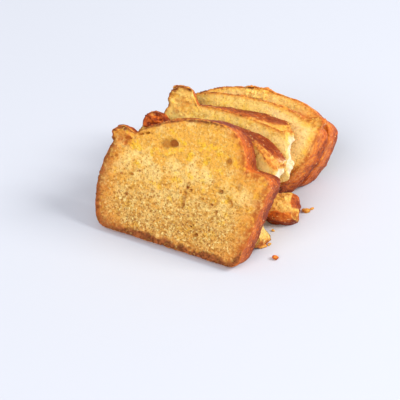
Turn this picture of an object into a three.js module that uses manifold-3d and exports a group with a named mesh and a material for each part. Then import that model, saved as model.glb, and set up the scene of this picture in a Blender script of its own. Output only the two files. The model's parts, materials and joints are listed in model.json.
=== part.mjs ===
// Five slices of a pound cake loaf, leaning back on each other, and the corner broken off the third slice.
// Millimetres, +Z up, the loaf runs back along +Y, the cut face of the first slice looks along -Y.
import * as THREE from 'three';
import Module from 'manifold-3d';

const wasm = await Module();
wasm.setup();

// ---- sizes of the loaf -------------------------------------------------------------------
const SLICE_T = 19.5;      // thickness of a slice
const SLICE_X = 6.0;       // middle of the row across
const FIRST_Y = -78.7;     // front bottom edge of the first slice
const PITCH = 22.7;        // distance between two slices along the row
const LIFT = 3.0;          // height of the front bottom edge, what lies under the floor is flattened
const YAW = -1.6;          // the row is turned by this about Z, degrees
const EDGE_R = 0.7;        // cut edge between a face and the crust
const CRUST_RELIEF = 0.45; // height of the relief in the crust
const FACE_RELIEF = 0.3;   // height of the relief in the cut faces
const TEAR_RELIEF = 1.8;   // height of the relief in a torn side
const LOW_V = 5, MID_V = 25, HIGH_V = 52; // heights at which a side's distance from the middle is given
const AROUND = 80;         // points around an outline
const CENTRE_V = 34;       // height of the point that an outline is drawn around
const BOTTOM_R = 3.4;      // rounding at the foot of a slice
const SIDE_TOP = 60;       // the sides go straight up above this height
const DOME_SLOPE = 0.8, DOME_FOOT = 10, DOME_BLEND = 3;  // how the dome meets the shoulders
const RIM_RELIEF = 0.5, RIM_TAPER = 0.9, RIM_BLEND = 2;  // how a lump of crust meets the top
const TEAR_SLOPE = 0.9, TEAR_BLEND = 1.2;                // how a tear meets the outline
const FIRST_R = 8, STEP_R = 0.8, HALVINGS = 12;          // how the edge is searched for from the middle
const SEED = 1.7, SEED_STEP = 2.3, CORNER_SEED = 3.1;    // the relief's own numbers
const DEGREE = Math.PI / 180;

// left, right: distances of the sides from the middle at LOW_V, MID_V, HIGH_V
// shoulder: height of the shoulders left and right
// dome: middle, top, base, reach left and right, power left and right
// drop: how much lower the top is at the back of the slice, left of from and right of to
// spread: how much further the foot of the right side reaches at the back, mm per mm of depth
// rims: lumps of crust on the top edge, as [middle u, middle v, half width, half height, depth]
// tear: distance of the torn side from the middle, as [height, distance], and its slant with the depth
const SLICES = {
  slice_front: {
    lean: 25, left: [54.6, 57.6, 52.6], right: [47.6, 51.8, 58.2],
    shoulder: [62.0, 60.0], shoulderR: 4.5, drop: { left: 1.8, right: 1.4, from: 0, to: 30 }, spread: 0,
    dome: { u: 15, top: 84, base: 50, reach: [62, 27], power: [1.6, 2.5] },
    rims: [[-44, 60.4, 8.4, 6.2, 5]],
  },
  slice_second: {
    lean: 27, left: [46, 50.5, 46], right: [52, 54, 56],
    shoulder: [59.5, 52], shoulderR: 4.5, drop: { left: 1.8, right: -2.6, from: 10, to: 42 }, spread: 0,
    dome: { u: 7, top: 69.5, base: 40, reach: [50, 44], power: [2.2, 2.0] },
    rims: [[-35.5, 59.6, 8.6, 6.2, 5]],
    tear: {
      table: [[0, 56], [6, 52.5], [14, 41], [30, 43], [42, 49], [54, 52], [60, 60], [90, 60]],
      slant: 0.1,
    },
  },
  slice_third: {
    lean: 28, left: [38, 42, 40.5], right: [47, 54, 58],
    shoulder: [60, 60], shoulderR: 3.5, drop: { left: 0.8, right: -2.6, from: -12, to: 24 }, spread: 0,
    dome: { u: 2, top: 64.6, base: 45, reach: [44, 70], power: [2.6, 2.0] },
    rims: [[-29.5, 63.8, 10.2, 9.2, 3]],
    tear: {
      table: [
        [0, 34], [14, 35], [27, 44], [31, 51], [36, 52.5], [42, 50.5], [54, 48], [65, 45.5], [90, 42],
      ],
      slant: 0.3,
    },
  },
  slice_fourth: {
    lean: 29, left: [45, 48, 48.5], right: [34, 49.5, 57.5],
    shoulder: [55, 57], shoulderR: 4, drop: { left: 2.6, right: 2.6, from: 0, to: 30 }, spread: 0.42,
    dome: { u: 18, top: 63.5, base: 40, reach: [62, 46], power: [2.4, 2.2] },
    rims: [[-44, 55, 4.5, 3.6, 19], [55.6, 58.2, 4.8, 4.1, 6]],
  },
  slice_back: {
    lean: 30, left: [38, 42, 43], right: [50, 57.5, 58.5],
    shoulder: [44, 48], shoulderR: 5, drop: { left: 2.6, right: 2.6, from: 0, to: 30 }, spread: 0,
    dome: { u: 16, top: 56.8, base: 28, reach: [60, 42], power: [2.4, 2.6] },
    rims: [[9, 54.2, 5.5, 4.2, 6], [1, 53.2, 7, 4.2, 6]],
  },
};

// hollows in the cut face of the first slice: u, v, half width, half height, depth
const HOLLOWS = [
  [-9.2, 64, 4.4, 2.9, 3.4], [30, 62.9, 2.3, 2.7, 2.4],
  [39.4, 49.4, 2.4, 3.6, 2.4], [5.2, 34.5, 1.4, 6.5, 1.6],
];
const HOLLOW_SIDES = 12;

// broken corner: middle, half sizes, turn about Z and tilt about its long side, degrees
const CORNER = { at: [55, -18.3, 6.8], half: [10.8, 9.3, 8.6], turn: 22, tilt: 24, power: 3.6, relief: 1.1 };
const CORNER_RINGS = 13, CORNER_AROUND = 22;

// ---- relief ------------------------------------------------------------------------------
const wave = (a, b, c) => Math.sin(a * 1.7 + 2.1 * Math.sin(b * 0.9 + 1.3))
  * Math.cos(b * 1.3 - 1.7 * Math.sin(c * 1.1));

function bumps(x, y, z, size, seed) {
  const a = x / size + seed;
  const b = y / size - seed * 0.7;
  const c = z / size + seed * 1.3;
  return 0.6 * wave(a, b, c) + 0.4 * wave(b * 2.1 + 4, c * 1.9 - 2, a * 2.3 + 1);
}

// ---- outline -----------------------------------------------------------------------------
function softMin(a, b, k) {
  const h = Math.max(k - Math.abs(a - b), 0) / k;
  return Math.min(a, b) - h * h * k / 4;
}

const softMax = (a, b, k) => -softMin(-a, -b, k);

// the parabola through three values at LOW_V, MID_V and HIGH_V
function through(v, [a, b, c]) {
  const low = a * (v - MID_V) * (v - HIGH_V) / ((LOW_V - MID_V) * (LOW_V - HIGH_V));
  const mid = b * (v - LOW_V) * (v - HIGH_V) / ((MID_V - LOW_V) * (MID_V - HIGH_V));
  const high = c * (v - LOW_V) * (v - MID_V) / ((HIGH_V - LOW_V) * (HIGH_V - MID_V));
  return low + mid + high;
}

function along(table, v) {
  const next = table.findIndex(([height]) => v <= height);
  if (next < 1) return table[next < 0 ? table.length - 1 : 0][1];
  const [v0, u0] = table[next - 1];
  const [v1, u1] = table[next];
  return u0 + (u1 - u0) * (v - v0) / (v1 - v0);
}

// below zero under the dome, which is never wider than the sides
function domeEdge({ u: middle, top, base, reach, power }, u, v, fall, side) {
  const half = u < middle ? 0 : 1;
  const rise = top - base;
  const p = power[half];
  const q = (Math.abs(u - middle) / reach[half]) ** p + (Math.max(v - base, 0) / rise) ** p;
  return Math.max((q ** (1 / p) - 1) * rise * DOME_SLOPE + fall, base - DOME_FOOT - v, side);
}

// below zero inside a lump of crust, which fades out behind its depth
function rimEdge([ru, rv, halfW, halfH, depth], u, v, w, seed) {
  const away = (Math.hypot((u - ru) / halfW, (v - rv) / halfH) - 1) * Math.min(halfW, halfH);
  return away + RIM_RELIEF * bumps(u, v, w, 3, seed) + RIM_TAPER * Math.max(w - depth, 0);
}

// below zero inside the slice's outline at the depth w
function outside(s, u, v, w, seed) {
  const h = Math.min(Math.max(v, 0), SIDE_TOP);
  const left = through(h, s.left);
  const right = through(h, s.right) + s.spread * w * (1 - h / SIDE_TOP);
  const across = Math.min(Math.max((u - s.drop.from) / (s.drop.to - s.drop.from), 0), 1);
  const fall = (s.drop.left + (s.drop.right - s.drop.left) * across) * w / SLICE_T;
  const top = s.shoulder[0] + (s.shoulder[1] - s.shoulder[0]) * (u + left) / (left + right) - fall;
  const side = Math.max(-left - u, u - right);
  let f = softMax(softMax(side, v - top, 2 * s.shoulderR), -v, 2 * BOTTOM_R);
  f = softMin(f, domeEdge(s.dome, u, v, fall, side), DOME_BLEND);
  for (const rim of s.rims) f = softMin(f, rimEdge(rim, u, v, w, seed), RIM_BLEND);
  if (!s.tear) return f;
  const torn = (u + s.tear.slant * w - along(s.tear.table, v)) * TEAR_SLOPE;
  return softMax(f, torn - TEAR_RELIEF * bumps(v, w, 5, 4.5, seed), TEAR_BLEND);
}

function outline(s, w, seed) {
  const ring = [];
  for (let i = 0; i < AROUND; i++) {
    const angle = 2 * Math.PI * i / AROUND;
    const ca = Math.cos(angle);
    const sa = Math.sin(angle);
    const inside = (r) => outside(s, r * ca, CENTRE_V + r * sa, w, seed) < 0;
    let r = FIRST_R;
    while (inside(r)) r += STEP_R;
    let low = r - STEP_R;
    let high = r;
    for (let n = 0; n < HALVINGS; n++) {
      const mid = (low + high) / 2;
      if (inside(mid)) low = mid; else high = mid;
    }
    ring.push({ ca, sa, r: low });
  }
  return ring;
}

// ---- solids ------------------------------------------------------------------------------
// a closed fan, rings of as many points as around says, and a closing fan
function ringFaces(count, around) {
  const faces = [];
  const rings = (count - 2) / around;
  const last = count - 1;
  for (let i = 0; i < around; i++) {
    const j = (i + 1) % around;
    faces.push([0, 1 + i, 1 + j]);
    for (let k = 0; k + 1 < rings; k++) {
      const a = 1 + k * around + i;
      const b = 1 + k * around + j;
      faces.push([a, a + around, b], [b, a + around, b + around]);
    }
    faces.push([last, last - around + j, last - around + i]);
  }
  return faces;
}

function toManifold(points, faces) {
  const vertProperties = new Float32Array(points.flat());
  const triVerts = new Uint32Array(faces.flat());
  return wasm.Manifold.ofMesh(new wasm.Mesh({ numProp: 3, vertProperties, triVerts }));
}

// points of a slice in its own u across, v up the face and w into the slice
function slicePoints(s, seed) {
  const points = [[0, CENTRE_V, 0]];
  const ring = (w, share, inset, relief) => {
    for (const { ca, sa, r } of outline(s, w, seed)) {
      const grow = share === 1 ? relief * bumps(r * ca, r * sa, w, 6, seed) : 0;
      const reach = (r - inset + grow) * share;
      const u = reach * ca;
      const v = CENTRE_V + reach * sa;
      const dent = share < 1 ? FACE_RELIEF * bumps(u, v, w, 7, seed) : 0;
      points.push([u, v, w + dent]);
    }
  };
  for (const share of [0.3, 0.6, 0.85]) ring(0, share, 0, 0);
  ring(0, 1, EDGE_R, 0);
  ring(EDGE_R, 1, 0, CRUST_RELIEF * 0.4);
  for (const share of [0.27, 0.52, 0.77]) ring(SLICE_T * share, 1, 0, CRUST_RELIEF);
  ring(SLICE_T - EDGE_R * 2, 1, 0.3, CRUST_RELIEF * 0.6);
  ring(SLICE_T, 1, EDGE_R * 2.2, 0);
  ring(SLICE_T, 0.55, 0, 0);
  points.push([0, CENTRE_V, SLICE_T]);
  return points;
}

// where u, v, w of a slice lie in the row
function slicePlace(s, index) {
  const yaw = YAW * DEGREE;
  const lean = s.lean * DEGREE;
  const up = new THREE.Vector3(0, 0, 1);
  const across = new THREE.Vector3(Math.cos(yaw), Math.sin(yaw), 0);
  const back = new THREE.Vector3(-Math.sin(yaw), Math.cos(yaw), 0);
  const rise = up.clone().multiplyScalar(Math.cos(lean)).addScaledVector(back, Math.sin(lean));
  const deep = back.clone().multiplyScalar(Math.cos(lean)).addScaledVector(up, -Math.sin(lean));
  const foot = new THREE.Vector3(SLICE_X, FIRST_Y + PITCH * index, LIFT);
  return new THREE.Matrix4().makeBasis(across, rise, deep).setPosition(foot);
}

function slice(s, index) {
  const place = slicePlace(s, index);
  const local = slicePoints(s, SEED + index * SEED_STEP);
  const points = local.map((p) => new THREE.Vector3(...p).applyMatrix4(place).toArray());
  let solid = toManifold(points, ringFaces(points.length, AROUND));
  for (const [u, v, halfU, halfV, depth] of index === 0 ? HOLLOWS : []) {
    const at = place.clone().multiply(new THREE.Matrix4().makeTranslation(u, v, 0));
    const ball = wasm.Manifold.sphere(1, HOLLOW_SIDES).scale([halfU, halfV, depth]);
    solid = solid.subtract(ball.transform(at.elements));
  }
  return solid.trimByPlane([0, 0, 1], 0);
}

function corner({ at, half, turn, tilt, power, relief }) {
  const turned = new THREE.Euler(tilt * DEGREE, 0, turn * DEGREE, 'ZXY');
  const shape = (x, y, z) => {
    const n = (Math.abs(x) ** power + Math.abs(y) ** power + Math.abs(z) ** power) ** (-1 / power);
    const k = n + relief / half[0] * bumps(x * 10, y * 10, z * 10, 4.5, CORNER_SEED);
    const p = new THREE.Vector3(x * k * half[0], y * k * half[1], z * k * half[2]);
    return p.applyEuler(turned).add(new THREE.Vector3(...at)).toArray();
  };
  const points = [shape(0, 0, 1)];
  for (let i = 1; i < CORNER_RINGS; i++) for (let j = 0; j < CORNER_AROUND; j++) {
    const t = Math.PI * i / CORNER_RINGS;
    const p = 2 * Math.PI * j / CORNER_AROUND;
    points.push(shape(Math.sin(t) * Math.cos(p), Math.sin(t) * Math.sin(p), Math.cos(t)));
  }
  points.push(shape(0, 0, -1));
  return toManifold(points, ringFaces(points.length, CORNER_AROUND)).trimByPlane([0, 0, 1], 0);
}

// ---- group -------------------------------------------------------------------------------
const cake = new THREE.MeshStandardMaterial({ name: 'cake', color: 0xe3b04f, roughness: 0.85 });
const bodies = Object.entries(SLICES).map(([name, s], i) => [name, slice(s, i)]);
bodies.push(['broken_corner', corner(CORNER)]);

const edge = (side, k) => bodies.map(([, body]) => body.boundingBox()[side][k]);
const low = [0, 1, 2].map((k) => Math.min(...edge('min', k)));
const high = [0, 1, 2].map((k) => Math.max(...edge('max', k)));
const shift = [-(low[0] + high[0]) / 2, -(low[1] + high[1]) / 2, -low[2]];

const group = new THREE.Group();
for (const [name, body] of bodies) {
  const mesh = body.translate(shift).getMesh();
  const geometry = new THREE.BufferGeometry();
  geometry.setAttribute('position', new THREE.BufferAttribute(new Float32Array(mesh.vertProperties), 3));
  geometry.setIndex(new THREE.BufferAttribute(new Uint32Array(mesh.triVerts), 1));
  geometry.computeVertexNormals();
  const node = new THREE.Mesh(geometry, cake);
  node.name = name;
  group.add(node);
}
export default group;
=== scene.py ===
"""A sliced pound cake loaf: five leaning slices, a broken corner and the crumbs around them."""
import json
import math

import bpy
import numpy as np
from bpy.props import FloatProperty, FloatVectorProperty, IntProperty, PointerProperty
from bpy.types import Operator, Panel, PropertyGroup
from mathutils import Matrix, Vector

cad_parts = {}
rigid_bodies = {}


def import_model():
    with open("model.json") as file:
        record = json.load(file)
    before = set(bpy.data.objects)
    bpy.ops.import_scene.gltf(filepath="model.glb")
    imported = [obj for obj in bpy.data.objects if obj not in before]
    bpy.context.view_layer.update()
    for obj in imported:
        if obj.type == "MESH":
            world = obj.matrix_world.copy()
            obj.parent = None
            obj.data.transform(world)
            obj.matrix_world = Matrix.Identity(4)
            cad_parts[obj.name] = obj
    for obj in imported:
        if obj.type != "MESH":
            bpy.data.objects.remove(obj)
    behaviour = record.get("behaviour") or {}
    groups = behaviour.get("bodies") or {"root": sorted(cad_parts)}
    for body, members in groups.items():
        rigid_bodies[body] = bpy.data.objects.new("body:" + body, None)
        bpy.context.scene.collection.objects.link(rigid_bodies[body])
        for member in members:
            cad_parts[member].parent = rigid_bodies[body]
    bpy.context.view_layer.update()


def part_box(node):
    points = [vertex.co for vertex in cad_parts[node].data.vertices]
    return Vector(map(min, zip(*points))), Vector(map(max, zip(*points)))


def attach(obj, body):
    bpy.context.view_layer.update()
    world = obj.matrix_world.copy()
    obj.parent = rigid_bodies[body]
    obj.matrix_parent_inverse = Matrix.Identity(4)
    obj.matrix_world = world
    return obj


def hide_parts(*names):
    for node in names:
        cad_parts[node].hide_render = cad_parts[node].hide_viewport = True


bl_info = {
    "name": "Sliced Pound Cake Loaf",
    "version": (1, 0, 0),
    "blender": (4, 5, 0),
    "location": "View3D > Sidebar > Pound Cake",
    "description": "Builds a sliced pound cake loaf with its crumb, crust and loose crumbs",
    "category": "Object",
}

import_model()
MM = 0.001

# ---- The row of slices ----
# Lengths are in millimetres and angles in degrees. In a slice, u runs across the face from its middle, v up
# the face from its foot, and w from the face into the slice.
SLICE_T = 19.5  # thickness of a slice
SLICE_X, FIRST_Y, LIFT = 6.0, -78.7, 3.0  # where the foot of the front slice is, before row_shift()
PITCH, YAW = 22.7, -1.6  # from one foot to the next, and the turn of the row
EDGE_R = 0.7  # rounding of the cut edges
TEAR_RELIEF = 1.8  # how rough a tear's outline is
LOW_V, MID_V, HIGH_V, CENTRE_V = 5, 25, 52, 34  # heights on a face
BOTTOM_R, SIDE_TOP = 3.4, 60  # rounding at the foot, and where the sides' curves end
RIM_TAPER = 0.9  # how fast a lump of crust ends behind its depth
FIRST_SEED, SEED_STEP = 1.7, 2.3  # of the slices' relief
FAR = 99.0  # distance to something that a slice doesn't have

# left, right: distances of the sides from the middle at LOW_V, MID_V, HIGH_V
# shoulder: height where the left and the right side meet the top, shoulder_r: rounding there
# dome: middle, top, base, reach left and right, power left and right
# drop: how much lower the top is at the back, left of a place and right of another
# spread: how much further right the foot reaches at the back, for each millimetre
# rims: lumps of crust on the top edge: middle, half width, half height, depth
# tear: distance of the torn side from the middle at some heights; slant: how that falls off with the depth
# crust: how dark it is baked on top, at the side, and more at the foot, which is partly painted shade; nub:
# how brown the lumps are
# pale: painted light that makes the crumb paler on the slices further back and on faces in shade, and how
# much more so at the right; torn_toast: how brown the torn side is
# starts: where the crust starts, as a share of the thickness, at some distances from the middle
SLICES = {
    "slice_front": {
        "lean": 25, "left": (54.6, 57.6, 52.6), "right": (47.6, 51.8, 58.2),
        "shoulder": (62.0, 60.0), "shoulder_r": 4.5, "drop": (1.8, 1.4, 0, 30), "spread": 0,
        "dome": (15, 84, 50, (62, 27), (1.6, 2.5)), "rims": ((-44, 60.4, 8.4, 6.2, 5),),
        "crust": (0.45, 0.48, 0.05), "nub": 0.95, "pale": (0.0, 0.0),
    },
    "slice_second": {
        "lean": 27, "left": (46, 50.5, 46), "right": (52, 54, 56),
        "shoulder": (59.5, 52), "shoulder_r": 4.5, "drop": (1.8, -2.6, 10, 42), "spread": 0,
        "dome": (7, 69.5, 40, (50, 44), (2.2, 2.0)), "rims": ((-35.5, 59.6, 8.6, 6.2, 5),),
        "tear": ((0, 56), (6, 52.5), (14, 41), (30, 43), (42, 49), (54, 52), (60, 60), (90, 60)),
        "slant": 0.1, "crust": (0.85, 0.5, 0.1), "nub": 1.0, "pale": (0.6, 0.0), "torn_toast": 0.85,
        "starts": ((10, 0.0), (30, 0.12), (44, 0.25), (53, 0.95)),
    },
    "slice_third": {
        "lean": 28, "left": (38, 42, 40.5), "right": (47, 54, 58),
        "shoulder": (60, 60), "shoulder_r": 3.5, "drop": (0.8, -2.6, -12, 24), "spread": 0,
        "dome": (2, 64.6, 45, (44, 70), (2.6, 2.0)), "rims": ((-29.5, 63.8, 10.2, 9.2, 3),),
        "tear": ((0, 34), (14, 35), (27, 44), (31, 51), (36, 52.5), (42, 50.5), (54, 48), (65, 45.5),
                 (90, 42)),
        "slant": 0.3, "crust": (0.70, 0.5, 0.1), "nub": 0.35, "pale": (0.5, 0.15),
        "starts": ((10, 0.0), (28, 0.12), (36, 0.3), (46, 0.95)),
    },
    "slice_fourth": {
        "lean": 29, "left": (45, 48, 48.5), "right": (34, 49.5, 57.5),
        "shoulder": (55, 57), "shoulder_r": 4, "drop": (2.6, 2.6, 0, 30), "spread": 0.42,
        "dome": (18, 63.5, 40, (62, 46), (2.4, 2.2)),
        "rims": ((-44, 55, 4.5, 3.6, 19), (55.6, 58.2, 4.8, 4.1, 6)),
        "crust": (0.25, 0.28, 0.60), "nub": 0.6, "pale": (0.5, 0.2),
    },
    "slice_back": {
        "lean": 30, "left": (38, 42, 43), "right": (50, 57.5, 58.5),
        "shoulder": (44, 48), "shoulder_r": 5, "drop": (2.6, 2.6, 0, 30), "spread": 0,
        "dome": (16, 56.8, 28, (60, 42), (2.4, 2.6)), "rims": ((9, 54.2, 5.5, 4.2, 6), (1, 53.2, 7, 4.2, 6)),
        "crust": (0.05, 0.36, 0.35), "nub": 0.1, "pale": (0.62, 0.0),
    },
}


# ---- Relief: the same waves as the solids, and finer noise on top ----
def wave(a, b, c):
    """An uneven wave from -1 to 1."""
    return np.sin(a * 1.7 + 2.1 * np.sin(b * 0.9 + 1.3)) * np.cos(b * 1.3 - 1.7 * np.sin(c * 1.1))


def bumps(x, y, z, size, seed):
    """Broad bumps about size across, with finer ones on them."""
    a, b, c = x / size + seed, y / size - seed * 0.7, z / size + seed * 1.3
    return 0.6 * wave(a, b, c) + 0.4 * wave(b * 2.1 + 4, c * 1.9 - 2, a * 2.3 + 1)


def lattice(i, j, k, seed):
    """A repeatable random value from 0 to 1 for each whole-numbered place."""
    n = (i * 374761393 + j * 668265263 + k * 2147483647 + seed * 1274126177) & 0xFFFFFFFF
    n = ((n ^ (n >> 13)) * 1103515245) & 0xFFFFFFFF
    return ((n ^ (n >> 16)) & 0xFFFF) / 65535.0


def noise(x, y, z, size, seed):
    """Smooth noise from -1 to 1 whose bumps are about size across."""
    p = [np.asarray(t, float) / size for t in np.broadcast_arrays(x, y, z)]
    base = [np.floor(t).astype(np.int64) for t in p]
    f = [t - b for t, b in zip(p, base)]
    f = [t * t * (3 - 2 * t) for t in f]
    total = 0.0
    for di in (0, 1):
        for dj in (0, 1):
            for dk in (0, 1):
                weight = (f[0] if di else 1 - f[0]) * (f[1] if dj else 1 - f[1]) * (f[2] if dk else 1 - f[2])
                total = total + weight * lattice(base[0] + di, base[1] + dj, base[2] + dk, seed)
    return total * 2 - 1


def layered(x, y, z, *layers):
    """Noise in layers, each given as strength, size and seed."""
    return sum(strength * noise(x, y, z, size, seed) for strength, size, seed in layers)


def smooth(low, high, x):
    """0 at low, 1 at high, smooth between; low may be above high."""
    t = np.clip((x - low) / (high - low), 0, 1)
    return t * t * (3 - 2 * t)


# ---- Outline of a slice ----
def soft_min(a, b, k):
    """The lesser of two, rounded where they are within k of each other."""
    h = np.maximum(k - np.abs(a - b), 0) / k
    return np.minimum(a, b) - h * h * k / 4


def soft_max(a, b, k):
    """The greater of two, rounded where they are within k of each other."""
    return -soft_min(-a, -b, k)


def through(v, values):
    """The curve through three values, at LOW_V, MID_V and HIGH_V."""
    a, b, c = values
    return (a * (v - MID_V) * (v - HIGH_V) / ((LOW_V - MID_V) * (LOW_V - HIGH_V))
            + b * (v - LOW_V) * (v - HIGH_V) / ((MID_V - LOW_V) * (MID_V - HIGH_V))
            + c * (v - LOW_V) * (v - MID_V) / ((HIGH_V - LOW_V) * (HIGH_V - MID_V)))


def torn(s, u, v, w, seed):
    """Below zero on the kept side of the tear."""
    if "tear" not in s:
        return np.full(np.broadcast(u, v).shape, -FAR)
    heights, reach = zip(*s["tear"])
    rough = TEAR_RELIEF * bumps(v, w, 5, 4.5, seed)
    return (u + s["slant"] * w - np.interp(v, heights, reach)) * 0.9 - rough


def baked(s, u, v, w, seed):
    """Below zero inside the baked outline, before the tear."""
    h = np.clip(v, 0, SIDE_TOP)
    left = through(h, s["left"])
    right = through(h, s["right"]) + s["spread"] * w * (1 - h / SIDE_TOP)
    drop_left, drop_right, start, end = s["drop"]
    fall = (drop_left + (drop_right - drop_left) * np.clip((u - start) / (end - start), 0, 1)) * w / SLICE_T
    top = s["shoulder"][0] + (s["shoulder"][1] - s["shoulder"][0]) * (u + left) / (left + right) - fall
    side = np.maximum(-left - u, u - right)
    f = soft_max(soft_max(side, v - top, 2 * s["shoulder_r"]), -v, 2 * BOTTOM_R)
    middle, peak, base, reach, power = s["dome"]
    rise = peak - base
    p = np.where(u < middle, power[0], power[1])
    q = (np.abs(u - middle) / np.where(u < middle, reach[0], reach[1])) ** p
    q = q + (np.maximum(v - base, 0) / rise) ** p
    dome = np.maximum(np.maximum((q ** (1 / p) - 1) * rise * 0.8 + fall, base - 10 - v), side)
    f = soft_min(f, dome, 3)
    for ru, rv, rw, rh, depth in s["rims"]:
        rim = (np.hypot((u - ru) / rw, (v - rv) / rh) - 1) * min(rw, rh) + 0.5 * bumps(u, v, w, 3, seed)
        f = soft_min(f, rim + RIM_TAPER * np.maximum(w - depth, 0), 2)
    return f


def outside(s, u, v, w, seed):
    """Below zero inside the slice."""
    f = baked(s, u, v, w, seed)
    if "tear" in s:
        f = soft_max(f, torn(s, u, v, w, seed), 1.2)
    return f


def outline(s, angles, w, seed):
    """Distance from the middle of the face to its edge in each direction, at the depth w."""
    nearest, farthest, step, halvings = 8, 110, 0.8, 12
    ca, sa = np.cos(angles), np.sin(angles)
    steps = np.arange(nearest, farthest, step)
    grid = outside(s, steps[:, None] * ca, CENTRE_V + steps[:, None] * sa, w, seed) >= 0
    first = steps[np.argmax(grid, axis=0)]
    low, high = first - step, first
    for _ in range(halvings):
        mid = (low + high) / 2
        inside = outside(s, mid * ca, CENTRE_V + mid * sa, w, seed) < 0
        low, high = np.where(inside, mid, low), np.where(inside, high, mid)
    return low


# ---- Pits and hollows in a cut face ----
# each hollow: u, v, half width, half height, depth, turn
HOLLOWS = {
    "slice_front": (
        (-8.6, 64.3, 3.9, 3.2, 2.9, 25), (-13.4, 62.9, 5.6, 3.9, 1.8, 8), (30.0, 62.9, 2.5, 2.9, 2.0, 0),
        (39.4, 49.4, 2.4, 3.8, 1.3, 12), (5.6, 40.4, 1.3, 1.2, 2.6, 0), (8.4, 39.4, 1.0, 1.0, 2.2, 0),
        (28.3, 43.9, 1.6, 1.5, 2.4, 30), (5.0, 33.0, 1.3, 7.4, 1.7, -3), (34.6, 40.0, 1.2, 5.4, 1.7, 42),
        (27.4, 31.1, 1.1, 1.1, 2.2, 0), (23.4, 34.4, 1.3, 1.0, 2.2, 0), (16.8, 36.3, 1.1, 0.9, 1.8, 0),
        (17.0, 13.6, 1.3, 1.4, 2.6, 0), (12.5, 17.5, 1.0, 0.9, 2.0, 0), (-35.2, 25.3, 2.0, 1.4, 1.8, 0),
        (-17.5, 31.4, 2.0, 1.2, 1.6, 10), (-41.1, 37.3, 1.7, 1.0, 1.8, 0), (-34.0, 38.6, 1.6, 0.9, 1.8, 0),
        (-28.8, 41.9, 1.5, 1.0, 1.6, 0), (-46.6, 47.5, 1.6, 1.1, 1.7, 0), (-49.2, 45.5, 1.2, 1.0, 1.6, 0),
        (-30.0, 52.6, 1.2, 1.4, 1.4, 20), (-40.0, 60.4, 4.0, 0.9, 2.8, 4), (-31.4, 64.6, 2.4, 0.8, 2.6, 20),
        (-27.5, 66.2, 2.4, 0.8, 2.6, 16), (-48.5, 61.6, 1.6, 1.1, 1.8, 30),
    ),
    "slice_second": (
        (-34.5, 58.6, 3.4, 1.1, 1.9, 4), (-31.5, 62.0, 2.0, 0.8, 1.4, 30), (-38.5, 61.0, 1.4, 0.9, 1.2, 0),
    ),
    "slice_third": (
        (-33.0, 62.5, 2.6, 1.1, 1.6, -18), (20.0, 59.5, 1.2, 1.0, 1.2, 0), (-12.0, 57.5, 1.3, 1.6, 1.2, 0),
    ),
    "slice_fourth": (
        (36.5, 52.0, 1.1, 1.7, 1.4, 25), (46.0, 50.5, 1.2, 0.9, 1.2, 0), (-20.0, 46.0, 1.6, 1.0, 1.2, 0),
    ),
}
DEEP_PIT = 2.8  # a pit of this depth gets the darkest painted shade at its bottom


class PitField:
    """Depth of the pits in a cut face, on a fine square grid of u and v."""
    cell, low_u, low_v, wide, high = 0.35, -66.0, -4.0, 132.0, 94.0
    log_size, log_spread, largest = -0.72, 0.42, 1.5  # of the pits' half widths
    gather = 1.35  # how far the pits gather towards the foot

    def __init__(self, count, seed, hollows):
        self.depth = np.zeros((int(self.high / self.cell), int(self.wide / self.cell)))
        rng = np.random.default_rng(seed)
        for _ in range(count):
            size = min(rng.lognormal(self.log_size, self.log_spread), self.largest)
            v = self.low_v + self.high * rng.random() ** self.gather
            self.dig(self.low_u + self.wide * rng.random(), v, size, size * rng.uniform(0.45, 1.0),
                     size * rng.uniform(0.6, 1.0), rng.uniform(0, 180))
        for hollow in hollows:
            self.dig(*hollow)

    def dig(self, u, v, half_u, half_v, depth, turn):
        """Makes one pit with a ragged edge."""
        reach = max(half_u, half_v) * 1.3
        i0, i1 = [int((t - self.low_u) / self.cell) for t in (u - reach, u + reach + self.cell)]
        j0, j1 = [int((t - self.low_v) / self.cell) for t in (v - reach, v + reach + self.cell)]
        i0, j0 = max(i0, 0), max(j0, 0)
        patch = self.depth[j0:j1 + 1, i0:i1 + 1]
        if not patch.size:
            return
        jj, ii = np.mgrid[j0:j0 + patch.shape[0], i0:i0 + patch.shape[1]]
        du, dv = ii * self.cell + self.low_u - u, jj * self.cell + self.low_v - v
        c, s = math.cos(math.radians(turn)), math.sin(math.radians(turn))
        reach = np.hypot((du * c + dv * s) / half_u, (dv * c - du * s) / half_v)
        reach += 0.2 * noise(du, dv, 0, 0.55 * max(half_u, half_v, 1.2), int(abs(u * 7 + v * 3)) + 5)
        np.maximum(patch, depth * (1 - smooth(0.4, 1.15, reach)), out=patch)

    def at(self, u, v):
        """The depth at each place, between the grid's points."""
        x = np.clip((u - self.low_u) / self.cell, 0, self.depth.shape[1] - 1.001)
        y = np.clip((v - self.low_v) / self.cell, 0, self.depth.shape[0] - 1.001)
        i, j = x.astype(int), y.astype(int)
        fx, fy, d = x - i, y - j, self.depth
        return ((1 - fx) * (1 - fy) * d[j, i] + fx * (1 - fy) * d[j, i + 1]
                + (1 - fx) * fy * d[j + 1, i] + fx * fy * d[j + 1, i + 1])


# ---- Meshes ----
def added(name, data):
    """A new object in the scene."""
    obj = bpy.data.objects.new(name, data)
    bpy.context.scene.collection.objects.link(obj)
    return obj


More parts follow.
